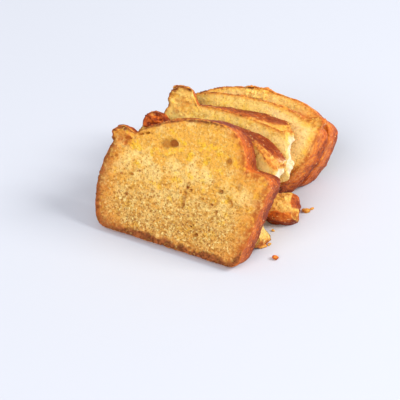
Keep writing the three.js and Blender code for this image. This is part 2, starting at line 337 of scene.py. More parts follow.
def closed_mesh(name, points, around, values):
    """A closed mesh from a first pole, rings of as many points as around says, and a last pole."""
    rings, last = (len(points) - 2) // around, len(points) - 1
    i = np.arange(around)
    j = (i + 1) % around
    quads = []
    for k in range(rings - 1):
        a, c = 1 + k * around, 1 + (k + 1) * around
        quads.append(np.stack([a + i, c + i, c + j, a + j], axis=1))
    faces = np.concatenate(quads).tolist()
    faces += np.stack([0 * i, 1 + i, 1 + j], axis=1).tolist()
    faces += np.stack([0 * i + last, last - around + j, last - around + i], axis=1).tolist()
    mesh = bpy.data.meshes.new(name)
    mesh.from_pydata((points * MM).tolist(), [], faces)
    for key, data in values.items():
        mesh.attributes.new(key, "FLOAT", "POINT").data.foreach_set("value", np.asarray(data, np.float32))
    mesh.shade_smooth()
    mesh.validate()
    return added(name, mesh)


def joined(pieces, name):
    """The pieces as one object with this name."""
    bpy.ops.object.select_all(action="DESELECT")
    for piece in pieces:
        piece.select_set(True)
    bpy.context.view_layer.objects.active = pieces[0]
    bpy.ops.object.join()
    pieces[0].name = pieces[0].data.name = name
    return pieces[0]


def ball_of_directions(rows, across):
    """Directions in rings from straight up to straight down, as closed_mesh wants its points."""
    angles = 2 * math.pi * np.arange(across) / across
    rings = [np.array([[0, 0, 1.0]])]
    for i in range(1, rows):
        t = math.pi * i / rows
        rings.append(np.stack([math.sin(t) * np.cos(angles), math.sin(t) * np.sin(angles),
                               np.full(across, math.cos(t))], axis=1))
    return np.concatenate(rings + [np.array([[0, 0, -1.0]])])


def upright_turn(degrees):
    """The matrix of a turn about the upright axis."""
    c, s = math.cos(math.radians(degrees)), math.sin(math.radians(degrees))
    return np.array([[c, -s, 0], [s, c, 0], [0, 0, 1.0]])


def slice_frame(name):
    """Foot of a slice, and the directions across, up the face and into the slice."""
    lean = math.radians(SLICES[name]["lean"])
    across, back, up = upright_turn(YAW).T
    rise = up * math.cos(lean) + back * math.sin(lean)
    deep = back * math.cos(lean) - up * math.sin(lean)
    foot = np.array([SLICE_X, FIRST_Y + PITCH * list(SLICES).index(name), LIFT])
    return foot, across, rise, deep


def row_shift():
    """From the row's own place to the frame's, read off the front slice's box."""
    s, (foot, across, rise, deep) = SLICES["slice_front"], slice_frame("slice_front")
    angles = np.linspace(0, 2 * math.pi, 81)[:-1]
    points = []
    for w in (0.0, SLICE_T * 0.5, SLICE_T):
        r = outline(s, angles, w, FIRST_SEED) - (EDGE_R if w == 0 else 0)
        u, v = r * np.cos(angles), CENTRE_V + r * np.sin(angles)
        points.append(foot + u[:, None] * across + v[:, None] * rise + w * deep)
    points = np.concatenate(points)
    points = points[points[:, 2] > 0]
    low, high = [np.array(corner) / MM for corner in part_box("slice_front")]
    shift = (low + high) / 2 - (points.min(0) + points.max(0)) / 2
    return np.array([shift[0], shift[1], 0.0])


# ---- How a slice is baked ----
# Noise seeds: from 11 the face's edge, 21 the faces, 31 the skin, 41 the torn crumb, 51 the broken corner,
# 61 the floor crumbs, 71 the browning.
def lumps_at(s, u, v):
    """1 in the middle of the lumps of crust on the top edge, falling to 0 around them."""
    total = np.zeros(np.shape(u))
    for ru, rv, rw, rh, _ in s["rims"]:
        total = np.maximum(total, 1 - smooth(0.75, 1.25, np.hypot((u - ru) / rw, (v - rv) / rh)))
    return total


def edge_browning(name, u, v, near, speck, nub):
    """Near a face's edge: the toasted crumb beside the crust, the crust that the cut goes through, and
    painted shade low on the front face's left.
    """
    front, lumps = name == "slice_front", nub * SLICES[name]["nub"]
    left, right, foot = smooth(-30, -46, u) * smooth(62, 50, v), smooth(18, 46, u), smooth(16, 5, v)
    if front:  # toasted furthest at its left and right, with the thickest crust at its foot and its left
        soft = left
        reach = 1.7 + 8.6 * left + 6.2 * right + 3.0 * foot
        thick = 0.5 + 3.4 * left - 0.3 * right + 4.4 * foot * (1 - 0.5 * smooth(34, 46, u)) * (1 - left)
        top = 2.0 * smooth(2, 8, u) * smooth(27, 18, u) + 0.9 * smooth(8, 2, u)
        thick = thick + top * smooth(60, 66, v)
    else:
        soft = 0.0
        reach = 0.9 if name == "slice_second" else 1.2 + 1.2 * right
        thick = 0.6 + 0.9 * left + 1.2 * nub * (u < 0)
    thick = (thick + (1.0 if front else 0.4) * lumps) * (1 + 0.8 * speck)
    toast = np.maximum(np.exp(-(np.maximum(near - EDGE_R, 0) / reach) ** 1.3), lumps * (0.85 + speck))
    rim = (1 - smooth((0.6 - 0.45 * soft) * thick, (1.4 + 0.3 * soft) * thick, near)) * (1 - 0.15 * soft)
    # painted shade: a soft brown wash up to 11 mm in from the front face's left edge, below the top, where
    # that face is less lit
    rim = np.maximum(rim, 0.34 * soft * smooth(52, 40, v) * (1 - smooth(2, 11, near)))
    if not front:
        rim = rim * (1 - 0.7 * right)
    return toast, rim


def darkness(name, u, v, w, pit, near, speck, lumps):
    """How dark the crust is baked."""
    top_dark, side_dark, foot_dark = SLICES[name]["crust"]
    bake = side_dark + (top_dark - side_dark) * smooth(42, 56, v)
    bake = bake + foot_dark * smooth(15, 3, v) * (1 - 0.5 * w / SLICE_T)
    bake = bake + 0.5 * smooth(0.1, 0.9, w / SLICE_T) + 0.25 * speck
    if name == "slice_second":  # its lump is burnt in patches and at its edge, with painted shade in its pits
        burnt = 0.5 * smooth(0.0, 0.4, noise(u, v, w, 2.6, 76)) + 0.6 * np.exp(-(near / 1.6) ** 2)
        bake = bake + (burnt + 2 * np.clip(pit - 0.9, 0, 0.6) - 0.3) * lumps
    else:
        bake = bake + 0.35 * lumps
    if name == "slice_fourth":  # painted shade, darkest low down next to its face, behind the torn slices
        bake = bake + 0.7 * smooth(20, 9, v) * smooth(10, 2, w)
    elif name == "slice_front":  # darker on top, and up its right side
        bake = bake + 0.6 * smooth(30, 20, u) * (v > 60) + 0.08 * smooth(30, 42, v) * smooth(40, 50, u)
    return bake


def paleness_and_painted_light(name, u, v, w):
    """How pale the crumb is: painted light on the slices further back and on faces in shade, and palest where
    freshly torn, partly as painted light.
    """
    s = SLICES[name]
    pale, more_right = s["pale"]
    fresh = pale + smooth(4, 30, u) * more_right
    if "tear" in s:
        reached = np.interp(v, *zip(*s["tear"]))
        share = (0.6 + 0.4 * smooth(0.5, 3, w)) * (0.45 + 0.55 * smooth(10, 24, v))
        fresh = np.maximum(fresh, smooth(-17, -3, u + s["slant"] * w - reached) * share)
    if name == "slice_back":  # its back, a plain old cut, gets little of the painted light
        fresh = fresh * (1 - 0.85 * smooth(SLICE_T - 2, SLICE_T, w))
    return fresh


def slice_values(name, u, v, w, crust, pit, near):
    """How baked, torn, dense and pitted each point of a slice is, and how pale with painted light, from 0 to
    1.
    """
    s, nub = SLICES[name], lumps_at(SLICES[name], u, v)
    lumps = nub * s["nub"]
    speck = layered(u, v, w, (0.5, 4.0, 71), (0.35, 1.6, 72))
    toast, rim = edge_browning(name, u, v, near, speck, nub)
    folded = 0.0 * u  # crust that comes round the edge on to the face
    if name == "slice_back":
        folded = smooth(28, 36, u) * smooth(52, 44, v) * (w < SLICE_T / 2)
    elif name == "slice_second":
        folded = smooth(0.15, 0.55, lumps + 0.9 * speck) * (v > 55)
    start = np.interp(u, *zip(*s.get("starts", ((0, 0.0),)))) * smooth(28, 36, v)
    before = np.maximum(start * SLICE_T - w, 0)  # distance to where the crust starts
    bare = np.maximum(np.exp(-before / 2.6), s.get("torn_toast", 0))
    return {
        "crust": np.maximum(crust * smooth(start, start + 0.16, w / SLICE_T + 0.09 * speck), folded),
        "rim": rim * (1 - crust) * (1 - smooth(0.02, 0.12, start)),
        "toast": np.clip(np.where(crust > 0.5, bare, toast), 0, 1),
        "bake": np.clip(darkness(name, u, v, w, pit, near, speck, lumps), 0, 1),
        # painted light: paler crumb on the slices further back and on faces in shade, and paler torn crumb,
        # partly painted light
        "fresh": np.clip(paleness_and_painted_light(name, u, v, w), 0, 1) * (1 - np.clip(toast, 0, 1)),
        "height": v,
        "pit": np.clip(pit / DEEP_PIT, 0, 1),
    }


# ---- Slices ----
# points round the outline, rings in the face, along the skin and in the back, and pits in the face
FINENESS = {"slice_front": (700, 78, 30, 8, 2400), "slice_back": (520, 46, 22, 44, 1500)}
COVERED = (520, 46, 22, 8, 1500)
CROWDING = 0.92  # below 1, the rings in a face lie closer towards its edge


def from_skin(s, u, v, angles, seed):
    """Distance of each point from the baked part of the face's outline, in the plane of the face."""
    edge, ca, sa = outline(s, angles, 0.0, seed), np.cos(angles), np.sin(angles)
    kept = torn(s, edge * ca, CENTRE_V + edge * sa, 0.0, seed) <= -0.8
    every = max(1, len(angles) // 260)
    near = np.full(u.shape, FAR ** 2)
    for r, c, n in zip(*[values[kept][::every] for values in (edge, ca, sa)]):
        near = np.minimum(near, (u - r * c) ** 2 + (v - CENTRE_V - r * n) ** 2)
    return np.sqrt(near)


def build_slice(name, detail, pit_seed):
    """One closed mesh: out over the pitted face, back along the skin or the tear, and in over the back."""
    s, index = SLICES[name], list(SLICES).index(name)
    seed = FIRST_SEED + index * SEED_STEP
    *counts, pit_count = FINENESS.get(name, COVERED)
    around, face_rings, side_rings, back_rings = [int(count * detail) for count in counts]
    angles = 2 * math.pi * np.arange(around) / around
    ca, sa = np.cos(angles), np.sin(angles)
    pits = PitField(pit_count, pit_seed + index, HOLLOWS.get(name, ()))
    edge = outline(s, angles, 0.0, seed)
    rings = []

    def add(r, w, crust, pit=0.0):
        u, v = r * ca, CENTRE_V + r * sa
        rings.append([u, v] + [np.broadcast_to(value, u.shape) for value in (w, crust, pit)])

    ragged = layered(edge * ca, edge * sa, 0, (0.42, 1.6, 11), (0.36, 0.8, 12))
    for j in range(1, face_rings + 1):  # the face
        r = (edge - EDGE_R + ragged) * (j / face_rings) ** CROWDING
        u, v = r * ca, CENTRE_V + r * sa
        dug, lump = pits.at(u, v), lumps_at(s, u, v)
        w = 0.3 * bumps(u, v, 0, 7, seed) * (j < face_rings) + (0.16 + 0.5 * lump) * noise(u, v, 0, 1.3, 21)
        w = w + dug + 0.35 * smooth(0.8, 1.0, j / face_rings) + lump * (2.0 * noise(u, v, 0, 2.8, 23) - 0.3)
        add(r, w, 0.0, dug)
    for j in range(side_rings + 1):  # the skin, or the tear
        share = j / side_rings
        w = EDGE_R + (SLICE_T - 2 * EDGE_R) * share
        r = outline(s, angles, w, seed)
        u, v = r * ca, CENTRE_V + r * sa
        tear, lump = smooth(-1.6, -0.4, torn(s, u, v, w, seed)), lumps_at(s, u, v)
        skin = 0.45 * bumps(u, v, w, 6, seed) + layered(u, v, w, (0.26, 2.4, 31), (0.16, 1.1, 32))
        skin = skin + lump * layered(u, v, w, (1.2, 2.8, 33), (0.75, 1.3, 34))
        crumb = layered(u, v, w, (1.7, 4.1, 41), (0.8, 2.0, 42), (0.35, 0.9, 43))
        rounding = 0.5 * (1 - smooth(0, 0.06, share)) + 1.6 * smooth(0.86, 1.0, share) ** 2
        add(r + skin * (1 - tear) + crumb * tear - rounding, w, 1 - tear)
    edge = outline(s, angles, SLICE_T, seed) - EDGE_R * 2.4
    for j in range(back_rings, 0, -1):  # the back, pitted only where it shows
        r = edge * (j / back_rings) ** CROWDING
        dug = pits.at(-r * ca, CENTRE_V + r * sa) * (name == "slice_back")
        add(r, SLICE_T + 0.15 * noise(r * ca, r * sa, 0, 1.3, 22) - dug, 0.0, dug)

    first, last = (0.0, CENTRE_V, rings[0][2].mean(), 0.0, 0.0), (0.0, CENTRE_V, SLICE_T, 0.0, 0.0)
    u, v, w, crust, pit = [np.concatenate([[start], *parts, [end]])
                           for start, end, *parts in zip(first, last, *rings)]
    near = from_skin(s, u, v, angles, seed)
    foot, across, rise, deep = slice_frame(name)
    points = foot + u[:, None] * across + v[:, None] * rise + w[:, None] * deep + row_shift()
    points[:, 2] = np.maximum(points[:, 2], 0.0)
    values = slice_values(name, u, v, w, crust, pit, near)
    return closed_mesh(name.replace("slice", "cake_slice"), points, around, values)


# ---- The broken corner ----
# in the row's own place as the slices: middle, half sizes, turn and tilt; power: how square it is
CORNER_AT, CORNER_HALF = (55, -18.3, 6.8), (10.8, 9.3, 8.6)
CORNER_TURN, CORNER_TILT, CORNER_POWER = 22, 24, 3.6
CORNER_ROWS, CORNER_ACROSS = 90, 150
CORNER_RELIEF, CORNER_SEED = 1.1, 3.1
RELIEF_BALL = 10  # radius of the ball on which the corner's relief is read


def build_corner(detail):
    """A rounded block of rough crumb with browned skin in front, on its right and below."""
    across = int(CORNER_ACROSS * detail)
    d = ball_of_directions(int(CORNER_ROWS * detail), across)
    ball = d.T * RELIEF_BALL
    n = (np.abs(d) ** CORNER_POWER).sum(1) ** (-1 / CORNER_POWER)
    x, y, z = (d * n[:, None]).T  # places on the plain block, from -1 to 1
    spot = 0.09 * noise(*ball, 3.0, 53)
    front = smooth(0.52, 0.66, -y + spot) * smooth(0.9, 0.74, x + spot + 0.3 * z)
    side = smooth(0.44, 0.58, x + spot) * smooth(-0.45, -0.25, y + spot)
    crust = np.maximum(np.maximum(front, side), smooth(0.7, 0.9, -z))
    k = n + CORNER_RELIEF / CORNER_HALF[0] * bumps(*ball, 4.5, CORNER_SEED)
    k = k + layered(*ball, (0.075, 2.6, 51), (0.05, 1.2, 52)) * (1 - 0.7 * crust)
    a = math.radians(CORNER_TILT)
    tilt = np.array([[1, 0, 0], [0, math.cos(a), -math.sin(a)], [0, math.sin(a), math.cos(a)]])
    local = d * k[:, None] * np.array(CORNER_HALF)
    points = local @ (upright_turn(CORNER_TURN) @ tilt).T + np.array(CORNER_AT) + row_shift()
    points[:, 2] = np.maximum(points[:, 2], 0.0)
    toast = 0.3 + 0.6 * smooth(0.1, 0.7, -y) + 0.5 * smooth(0.1, 0.7, y) + 6 * spot
    dark_front = 1.3 * smooth(-0.45, 0.3, -z) + 0.15 * smooth(0.6, -0.6, x)
    same = np.ones(len(d))
    values = {
        "crust": crust, "rim": 0 * same, "toast": np.clip(toast, 0, 1) * (1 - crust),
        "bake": 0.45 + smooth(0.4, 0.8, -y) * dark_front + 0.35 * smooth(0.4, 0.7, x),
        "fresh": 0.55 * same, "height": 60.0 * same, "pit": 0 * same,
    }
    return closed_mesh("cake_corner", points, across, values)


# ---- Loose crumbs on the floor ----
# x, y in the row's own place, length, width, height, turn, how brown
FLOOR_CRUMBS = (
    (66.0, -6.0, 5.0, 3.2, 2.8, 24, 0.75), (68.2, -1.9, 2.8, 1.6, 1.5, 50, 0.6),
    (68.4, -57.2, 3.6, 3.2, 2.8, 10, 1.0), (55.4, -32.8, 2.0, 1.6, 1.4, 0, 0.1),
    (55.6, -50.2, 6.4, 3.8, 3.2, 28, 0.8), (59.2, -46.4, 2.4, 1.8, 1.6, 70, 0.5),
)
CRUMB_ROWS, CRUMB_ACROSS = 22, 34
CRUMB_MIDDLE = 0.42  # height of a crumb's middle, as a share of the crumb's height


def build_floor_crumbs(detail):
    """Rough lumps, flattened where they lie on the floor."""
    rows, across = int(CRUMB_ROWS * detail), int(CRUMB_ACROSS * detail)
    d = ball_of_directions(rows, across)
    same, shift, pieces = np.ones(len(d)), row_shift(), []
    for n, (x, y, long, wide, high, turn, brown) in enumerate(FLOOR_CRUMBS):
        k = 1 + layered(*(d.T + n * 7), (0.32, 0.8, 61), (0.2, 0.35, 62))
        k = k + 0.25 * (d[:, 0] > 0) * d[:, 0] * noise(n * same, d[:, 1], d[:, 2], 0.9, 63)
        points = (d * k[:, None] * np.array([long, wide, high]) / 2) @ upright_turn(turn).T
        points = points + np.array([x, y, high * CRUMB_MIDDLE]) + shift
        points[:, 2] = np.maximum(points[:, 2], 0.0)
        tint = np.clip(brown + 0.35 * noise(*(d.T + n), 0.7, 64), 0, 1)
        values = {"crust": smooth(0.75, 1.0, tint), "rim": 0 * same, "toast": tint * 0.9, "bake": 0.4 * same,
                  "fresh": 0 * same, "height": 60.0 * same, "pit": 0 * same}
        pieces.append(closed_mesh(f"crumb_{n}", points, across, values))
    return joined(pieces, "floor_crumbs")


# ---- Nodes ----
def colour(seen):
    """A colour given as it is seen on a screen, 0 to 255, in Blender's linear values."""
    def linear(c):
        c /= 255
        return c / 12.92 if c <= 0.04045 else ((c + 0.055) / 1.055) ** 2.4
    return (*map(linear, seen), 1.0)


def node(tree, kind, inputs=(), **settings):
    """A node with its settings, and its inputs given as values or as the sockets that feed them."""
    made = tree.nodes.new(kind)
    for key, value in settings.items():
        setattr(made, key, value)
    for key, value in dict(inputs).items():
        if isinstance(value, bpy.types.NodeSocket):
            tree.links.new(value, made.inputs[key])
        else:
            made.inputs[key].default_value = value
    return made


def math_node(tree, operation, a, b=0.0, c=0.0):
    """The result of one operation on up to three values."""
    return node(tree, "ShaderNodeMath", {0: a, 1: b, 2: c}, operation=operation).outputs[0]


def times(tree, a, b):
    """One value times another."""
    return math_node(tree, "MULTIPLY", a, b)


def times_plus(tree, a, b, c):
    """One value times another, plus a third."""
    return math_node(tree, "MULTIPLY_ADD", a, b, c)


def band(tree, value, low, high):
    """0 at low, 1 at high, smooth between; low may be above high."""
    made = node(tree, "ShaderNodeMapRange", {"Value": value, "From Min": low, "From Max": high},
                interpolation_type="SMOOTHSTEP")
    return made.outputs["Result"]


def blend(tree, factor, a, b, mode="MIX"):
    """Colour a, turning to colour b as the factor goes from 0 to 1."""
    made = node(tree, "ShaderNodeMix", data_type="RGBA", blend_type=mode)
    sockets = {s.identifier: s for s in made.inputs}
    for identifier, value in (("Factor_Float", factor), ("A_Color", a), ("B_Color", b)):
        if isinstance(value, bpy.types.NodeSocket):
            tree.links.new(value, sockets[identifier])
        else:
            sockets[identifier].default_value = value
    return {s.identifier: s for s in made.outputs}["Result_Color"]


def tinted(tree, base, mask, share, tint):
    """The base colour with another on it where the mask is high, at a share of its strength."""
    return blend(tree, times(tree, mask, share), base, colour(tint))


def moved(tree, place, by):
    """A place moved by a fixed or a varying amount."""
    return node(tree, "ShaderNodeVectorMath", {0: place, 1: by}, operation="ADD").outputs[0]


def times_vector(tree, vector, by):
    """A vector times a number."""
    return node(tree, "ShaderNodeVectorMath", {0: vector, "Scale": by}, operation="SCALE").outputs[0]


def shaken(tree, noise_colour, amount):
    """A varying move of up to half the amount each way along each axis."""
    centred = node(tree, "ShaderNodeVectorMath", {0: noise_colour, 1: (0.5, 0.5, 0.5)}, operation="SUBTRACT")
    return times_vector(tree, centred.outputs[0], amount)


def speckle(tree, place, size, detail=3.0, roughness=0.55):
    """Noise from 0 to 1 whose bumps are about size millimetres across."""
    return node(tree, "ShaderNodeTexNoise", {"Vector": place, "Scale": 1.0 / size, "Detail": detail,
                                             "Roughness": roughness}).outputs["Fac"]


def spots(tree, place, shift, size, detail, roughness, low, high):
    """Irregular spots from 0 to 1, where noise of its own place goes from low to high."""
    return band(tree, speckle(tree, moved(tree, place, shift), size, detail, roughness), low, high)


def cells(tree, place, size):
    """Distance to the nearest of scattered points, in cells of about size millimetres."""
    return node(tree, "ShaderNodeTexVoronoi", {"Vector": place, "Scale": 1.0 / size}).outputs["Distance"]


def attribute(tree, name):
    """A value kept at each point of the mesh."""
    return node(tree, "ShaderNodeAttribute", attribute_name=name).outputs["Fac"]


def effect_group(name, inputs, outputs):
    """A shader node group. An input without a default is a vector, and the output Color is a colour."""
    group = bpy.data.node_groups.new(name, "ShaderNodeTree")
    for key, default in inputs.items():
        kind = "NodeSocketVector" if default is None else "NodeSocketFloat"
        made = group.interface.new_socket(key, in_out="INPUT", socket_type=kind)
        if default is not None:
            made.default_value = default
    for key in outputs:
        kind = "NodeSocketColor" if key == "Color" else "NodeSocketFloat"
        group.interface.new_socket(key, in_out="OUTPUT", socket_type=kind)
    return group, group.nodes.new("NodeGroupInput").outputs, group.nodes.new("NodeGroupOutput").inputs


# ---- Crumb, crust and floor ----
GRAIN_SHADE, WHITE = (205, 190, 160), (255, 255, 255)
CAKE_MATERIAL = "Cake crumb and crust"


def crumb_group(look):
    """The open crumb of a cut or torn face: cream and golden mottling, yellow patches, painted light where
    paler, and pores and grain with painted shade and highlights.
    """
    inputs = {"Place": None, "Dense": 0.0, "Pit": 0.0, "Pale": 0.0, "Golden": 0.0}
    group, given, out = effect_group("Cake crumb", inputs, ("Color", "Height"))
    place, dense, pale = given["Place"], given["Dense"], given["Pale"]
    wobble = node(group, "ShaderNodeTexNoise", {"Vector": place, "Scale": 0.9, "Detail": 2.0})
    bent = moved(group, place, shaken(group, wobble.outputs["Color"], 1.5))

    # golden and cream mottling, with egg-yellow patches, darker near the foot where the crumb is denser,
    # partly painted shade
    mottle = times_plus(group, given["Golden"], -0.16, speckle(group, place, 9.0, 4.0, 0.6))
    base = blend(group, band(group, mottle, 0.36, 0.62), colour(look.golden_crumb),
                 colour(look.cream_crumb))
    patch = spots(group, place, (31, 7, 3), 6.0, 2.0, 0.55, 0.55, 0.68)
    base = tinted(group, base, patch, 0.75, look.yellow_patch)
    # partly painted shade: the crumb is tinted darker towards the foot
    base = tinted(group, base, dense, 0.65, look.dense_crumb_and_shade)

    # painted light: brighter on the slices further back and on faces in shade; palest where freshly torn,
    # partly painted light
    painted_light_mix = spots(group, place, (8, 60, 2), 5.0, 4.0, 0.6, 0.46, 0.62)
    painted_light_mix = blend(group, times(group, painted_light_mix, 0.45), colour(look.painted_light_crumb), colour(look.yellow_patch))
    base = blend(group, band(group, pale, 0.0, 0.5), base, painted_light_mix)
    base = blend(group, band(group, pale, 0.5, 1.0), base, colour(look.pale_crumb))
    coarse = times_plus(group, pale, -0.85, 1.0)

    # grain: painted light and shade on the grains, painted highlights on raised grains, and painted shade in
    # the gaps between
    grain = speckle(group, place, 1.0, 4.0, 0.65)
    lit = blend(group, band(group, grain, 0.30, 0.62), colour(GRAIN_SHADE), colour(WHITE))
    shown = times_plus(group, dense, 0.45, 0.40)
    base = blend(group, times_plus(group, coarse, shown, 0.1), base, lit, "MULTIPLY")
    bright = spots(group, place, (61, 5, 2), 1.8, 4.0, 0.6, 0.52, 0.62)
    shown = times_plus(group, dense, 0.38, 0.32)
    base = tinted(group, base, bright, shown, look.grain_highlight)
    gap = spots(group, bent, (14, 33, 6), 2.0, 4.0, 0.6, 0.46, 0.36)
    shown = times(group, times_plus(group, dense, 0.55, 0.22), coarse)
    base = tinted(group, base, gap, shown, look.gap)

    # painted shade in pores of two sizes, more of them in some places and near the foot, darkest at the
    # bottom of deep pits
    loose = speckle(group, moved(group, place, (5, 40, 9)), 4.0, 2.0)
    limit = times_plus(group, loose, 0.42, times_plus(group, dense, 0.09, -0.02))
    wide = math_node(group, "SUBTRACT", cells(group, bent, 2.1), limit)
    fine = math_node(group, "SUBTRACT", cells(group, moved(group, bent, (11, 3, 8)), 1.15), limit)
    fine = times(group, band(group, fine, 0.10, -0.08), 0.7)
    pores = math_node(group, "MAXIMUM", band(group, wide, 0.07, -0.07), fine)
    shown = times_plus(group, pale, -0.85, 0.85)
    base = blend(group, times(group, pores, shown), base,
                 blend(group, dense, colour(look.pore), colour(look.dense_pore_shade)))
    base = blend(group, band(group, given["Pit"], 0.12, 1.0), base, colour(look.deep_pit_shade))
    group.links.new(base, out["Color"])

    height = math_node(group, "SUBTRACT", times(group, grain, 0.6), pores)
    height = math_node(group, "SUBTRACT", height, times(group, gap, 0.6))
    group.links.new(math_node(group, "ADD", height, times(group, bright, 0.4)), out["Height"])
    return group


def crust_group(look):
    """Browned crust: orange where thin, dark red-brown where baked most, with pale specks."""
    inputs = {"Place": None, "Bake": 0.5}
    group, given, out = effect_group("Baked crust", inputs, ("Color", "Height", "Rough"))
    place = given["Place"]
    broad = speckle(group, place, 7.0, 3.0, 0.6)
    fine = speckle(group, moved(group, place, (3, 17, 5)), 2.0, 5.0, 0.65)
    dark = math_node(group, "ADD", math_node(group, "ADD", broad, 0.3), given["Bake"])
    dark = times_plus(group, fine, 1.6, dark)
    base = blend(group, band(group, dark, 1.55, 2.15), colour(look.light_crust), colour(look.brown_crust))
    base = blend(group, band(group, dark, 2.05, 2.65), base, colour(look.dark_crust))
    plum = spots(group, place, (50, 2, 30), 8.0, 3.0, 0.55, 0.50, 0.66)
    base = tinted(group, base, plum, 0.55, look.plum_crust)
    speck = spots(group, place, (9, 9, 9), 2.2, 3.0, 0.6, 0.635, 0.70)
    base = tinted(group, base, speck, 0.75, look.crust_speck)
    group.links.new(base, out["Color"])
    cracks = cells(group, moved(group, place, (2, 5, 1)), 1.7)
    group.links.new(math_node(group, "ADD", fine, times(group, cracks, 0.5)), out["Height"])
    group.links.new(times_plus(group, fine, 0.35, 0.36), out["Rough"])
    return group


def new_material(name):
    """A material, its node tree and its shader."""
    material = bpy.data.materials.new(name)
    material.use_nodes = True
    return material, material.node_tree, material.node_tree.nodes["Principled BSDF"]


def cake_material(look):
    """Crumb, toasted towards the edge of a face, with the cut crust round it and browned skin outside."""
    material, tree, shader = new_material(CAKE_MATERIAL)
    place = times_vector(tree, node(tree, "ShaderNodeTexCoord").outputs["Object"], 1.0 / MM)
    height, skin = attribute(tree, "height"), attribute(tree, "crust")
    crumb = node(tree, "ShaderNodeGroup", node_tree=crumb_group(look), inputs={
        "Place": place, "Dense": band(tree, height, 58.0, 8.0), "Pit": attribute(tree, "pit"),
        "Pale": attribute(tree, "fresh"), "Golden": band(tree, height, 46.0, 64.0)})
    crust = node(tree, "ShaderNodeGroup", node_tree=crust_group(look), inputs={
        "Place": place, "Bake": attribute(tree, "bake")})
    uneven = speckle(tree, moved(tree, place, (0, 21, 0)), 3.0, 4.0, 0.6)
    toast = times(tree, attribute(tree, "toast"), band(tree, uneven, 0.15, 0.62))
    toasted = blend(tree, band(tree, toast, 0.35, 0.95), colour(look.toasted_crumb),
                    colour(look.browned_crumb))
    rim = times(tree, attribute(tree, "rim"), band(tree, uneven, 0.15, 0.50))
    cut = blend(tree, band(tree, uneven, 0.42, 0.62), colour(look.crust_edge), colour(look.crust_inside))
    base = blend(tree, toast, crumb.outputs["Color"], toasted)
    base = blend(tree, rim, base, cut)
    base = blend(tree, skin, base, crust.outputs["Color"])
    tree.links.new(base, shader.inputs["Base Color"])
    rough = node(tree, "ShaderNodeMapRange", {"Value": skin, "To Min": 0.82, "To Max": 0.5}).outputs["Result"]
    glossy = math_node(tree, "ADD", crust.outputs["Rough"], math_node(tree, "SUBTRACT", 1.0, skin))
    tree.links.new(math_node(tree, "MINIMUM", rough, glossy), shader.inputs["Roughness"])
    relief = node(tree, "ShaderNodeMix", {0: skin, 2: crumb.outputs["Height"], 3: crust.outputs["Height"]})
    bump = node(tree, "ShaderNodeBump", {"Height": relief.outputs[0], "Strength": 0.65, "Distance": 0.0009})
    tree.links.new(bump.outputs["Normal"], shader.inputs["Normal"])
    shader.inputs["Specular IOR Level"].default_value = 0.16
    shader.inputs["Subsurface Weight"].default_value = look.softness
    shader.inputs["Subsurface Radius"].default_value = (1.0, 0.55, 0.2)
    shader.inputs["Subsurface Scale"].default_value = 0.0022
    return material


def floor_material(look):
    """A pale floor, almost the same all over."""
    material, tree, shader = new_material("Pale floor")
    place = node(tree, "ShaderNodeTexCoord").outputs["Object"]
    soft = node(tree, "ShaderNodeTexNoise", {"Vector": place, "Scale": 2.0, "Detail": 1.0}).outputs["Fac"]
    darker = [c * 0.985 for c in look.floor]
    tree.links.new(blend(tree, soft, colour(look.floor), colour(darker)), shader.inputs["Base Color"])
    shader.inputs["Roughness"].default_value = 0.75
    shader.inputs["Specular IOR Level"].default_value = 0.2
    return material


# ---- Crumbs that cling to the cut and torn faces ----
GRAIN_LEAST, GRAIN_MOST = 0.45, 1.25  # size of a grain, in grain radii
GRAINS_ABOVE = 0.0035  # metres; lower than this, a grain could dip into the floor
GRAIN_ROUGH, GRAIN_NOISE = 0.0005, 1400.0  # how far a grain's points move, and the scale of that noise
BARE_CRUST, FULL_TURN = 0.4, 6.28


def random_value(tree, kind, suffix, low, high):
    """A random value for each grain; the suffix is that of the kind's sockets."""
    made = node(tree, "FunctionNodeRandomValue", data_type=kind)
    sockets = {s.identifier: s for s in made.inputs}
    sockets["Min" + suffix].default_value, sockets["Max" + suffix].default_value = low, high
    return {s.identifier: s for s in made.outputs}["Value" + suffix]


def point_value(tree, name):
    """A value kept at each point of the mesh, in Geometry Nodes."""
    return node(tree, "GeometryNodeInputNamedAttribute", {"Name": name}, data_type="FLOAT").outputs[0]


